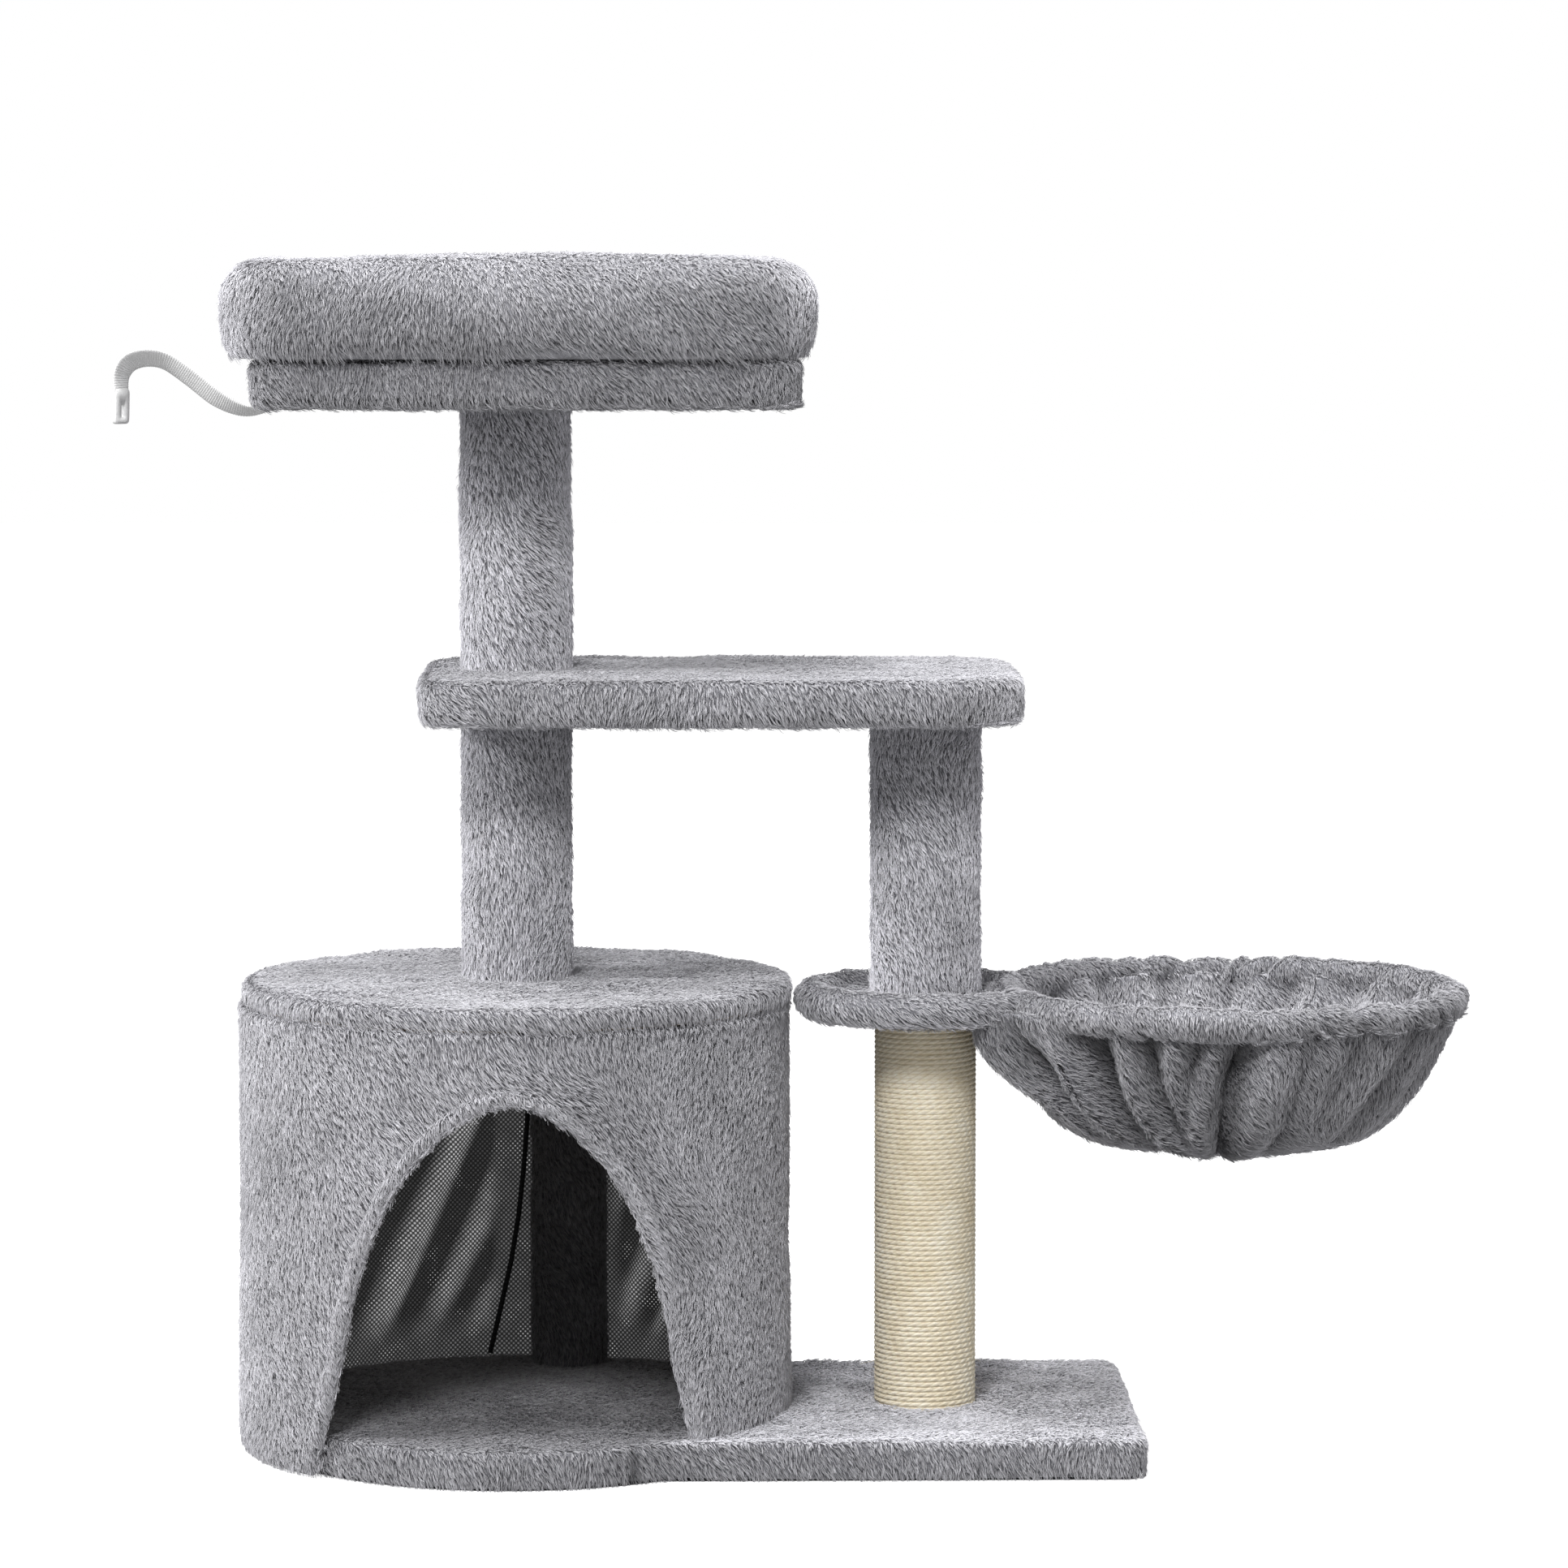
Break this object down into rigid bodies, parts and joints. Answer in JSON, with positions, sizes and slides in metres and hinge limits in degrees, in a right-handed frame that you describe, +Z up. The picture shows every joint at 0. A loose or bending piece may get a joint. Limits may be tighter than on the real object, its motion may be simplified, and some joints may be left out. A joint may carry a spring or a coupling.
{
  "type": "cat tree",
  "caption": "Plush cat tree with a round condo with an arched door, stacked posts, a middle shelf, a swivelling hammock bowl, a sisal scratching post and a padded bed on top.",
  "frame": {"origin": "centre of the base board's long side and width, on the floor, under the felt liner", "axes": "+X from the condo towards the hammock, +Y to the back, +Z up"},
  "size_m": [0.9137, 0.3681, 0.7983],
  "materials": {
    "plush": "long-pile grey plush",
    "chipboard": "raw chipboard",
    "cardboard": "raw spiral-wound",
    "wood": "sawn softwood",
    "sisal": "natural twisted rope",
    "steel": "zinc-plated",
    "webbing": "ribbed white webbing",
    "felt": "thin non-woven liner",
    "binding": "black bias binding"
  },
  "bodies": {
    "root": {"anti_tip_strap": "webbing", "base_board": "chipboard", "base_felt_liner": "felt", "base_plush_cover": "plush", "base_to_pole_back_bolt": "steel", "base_to_pole_left_bolt": "steel", "base_to_pole_right_bolt": "steel", "base_to_sisal_post_bolt": "steel", "base_to_sisal_post_washer": "steel", "condo_door_hem": "plush", "condo_seam_binding": "binding", "condo_wall": "plush", "hammock_stud": "steel", "inner_pole_back": "wood", "inner_pole_back_plush": "plush", "inner_pole_left": "wood", "inner_pole_left_plush": "plush", "inner_pole_right": "wood", "inner_pole_right_plush": "plush", "main_post_lower_bottom_plug": "wood", "main_post_lower_plush_sleeve": "plush", "main_post_lower_top_plug": "wood", "main_post_lower_tube": "cardboard", "main_post_upper_bottom_plug": "wood", "main_post_upper_plush_sleeve": "plush", "main_post_upper_top_plug": "wood", "main_post_upper_tube": "cardboard", "perch_board": "chipboard", "perch_plush_cover": "plush", "perch_to_main_post_bolt": "steel", "perch_to_main_post_washer": "steel", "right_post_bottom_plug": "wood", "right_post_plush_sleeve": "plush", "right_post_top_plug": "wood", "right_post_tube": "cardboard", "roof_board": "chipboard", "roof_plush_cover": "plush", "roof_to_main_post_bolt": "steel", "roof_to_main_post_washer": "steel", "roof_to_pole_back_bolt": "steel", "roof_to_pole_left_bolt": "steel", "roof_to_pole_right_bolt": "steel", "shelf_board": "chipboard", "shelf_plush_cover": "plush", "shelf_stud": "steel", "shelf_to_right_post_bolt": "steel", "shelf_to_right_post_washer": "steel", "sisal_post_bottom_plug": "wood", "sisal_post_rope": "sisal", "sisal_post_top_plug": "wood", "sisal_post_tube": "cardboard", "strap_screw": "steel"},
    "hammock": {"hammock_bowl": "plush", "hammock_frame": "steel", "hammock_loop_sleeve": "plush", "hammock_rim_sleeve": "plush"},
    "top_bed": {"bed_bolster": "plush", "bed_cushion": "plush"}
  },
  "joints": [
    {"name": "hammock_swivel", "type": "hinge", "parent": "root", "child": "hammock", "pos_m": [0.1595, 0, 0.302], "axis": [0, 0, 1], "range_deg": [-80, 80]},
    {"name": "bed_lift", "type": "slide", "parent": "root", "child": "top_bed", "axis": [0, 0, 1], "range_m": [0, 0.12]}
  ]
}
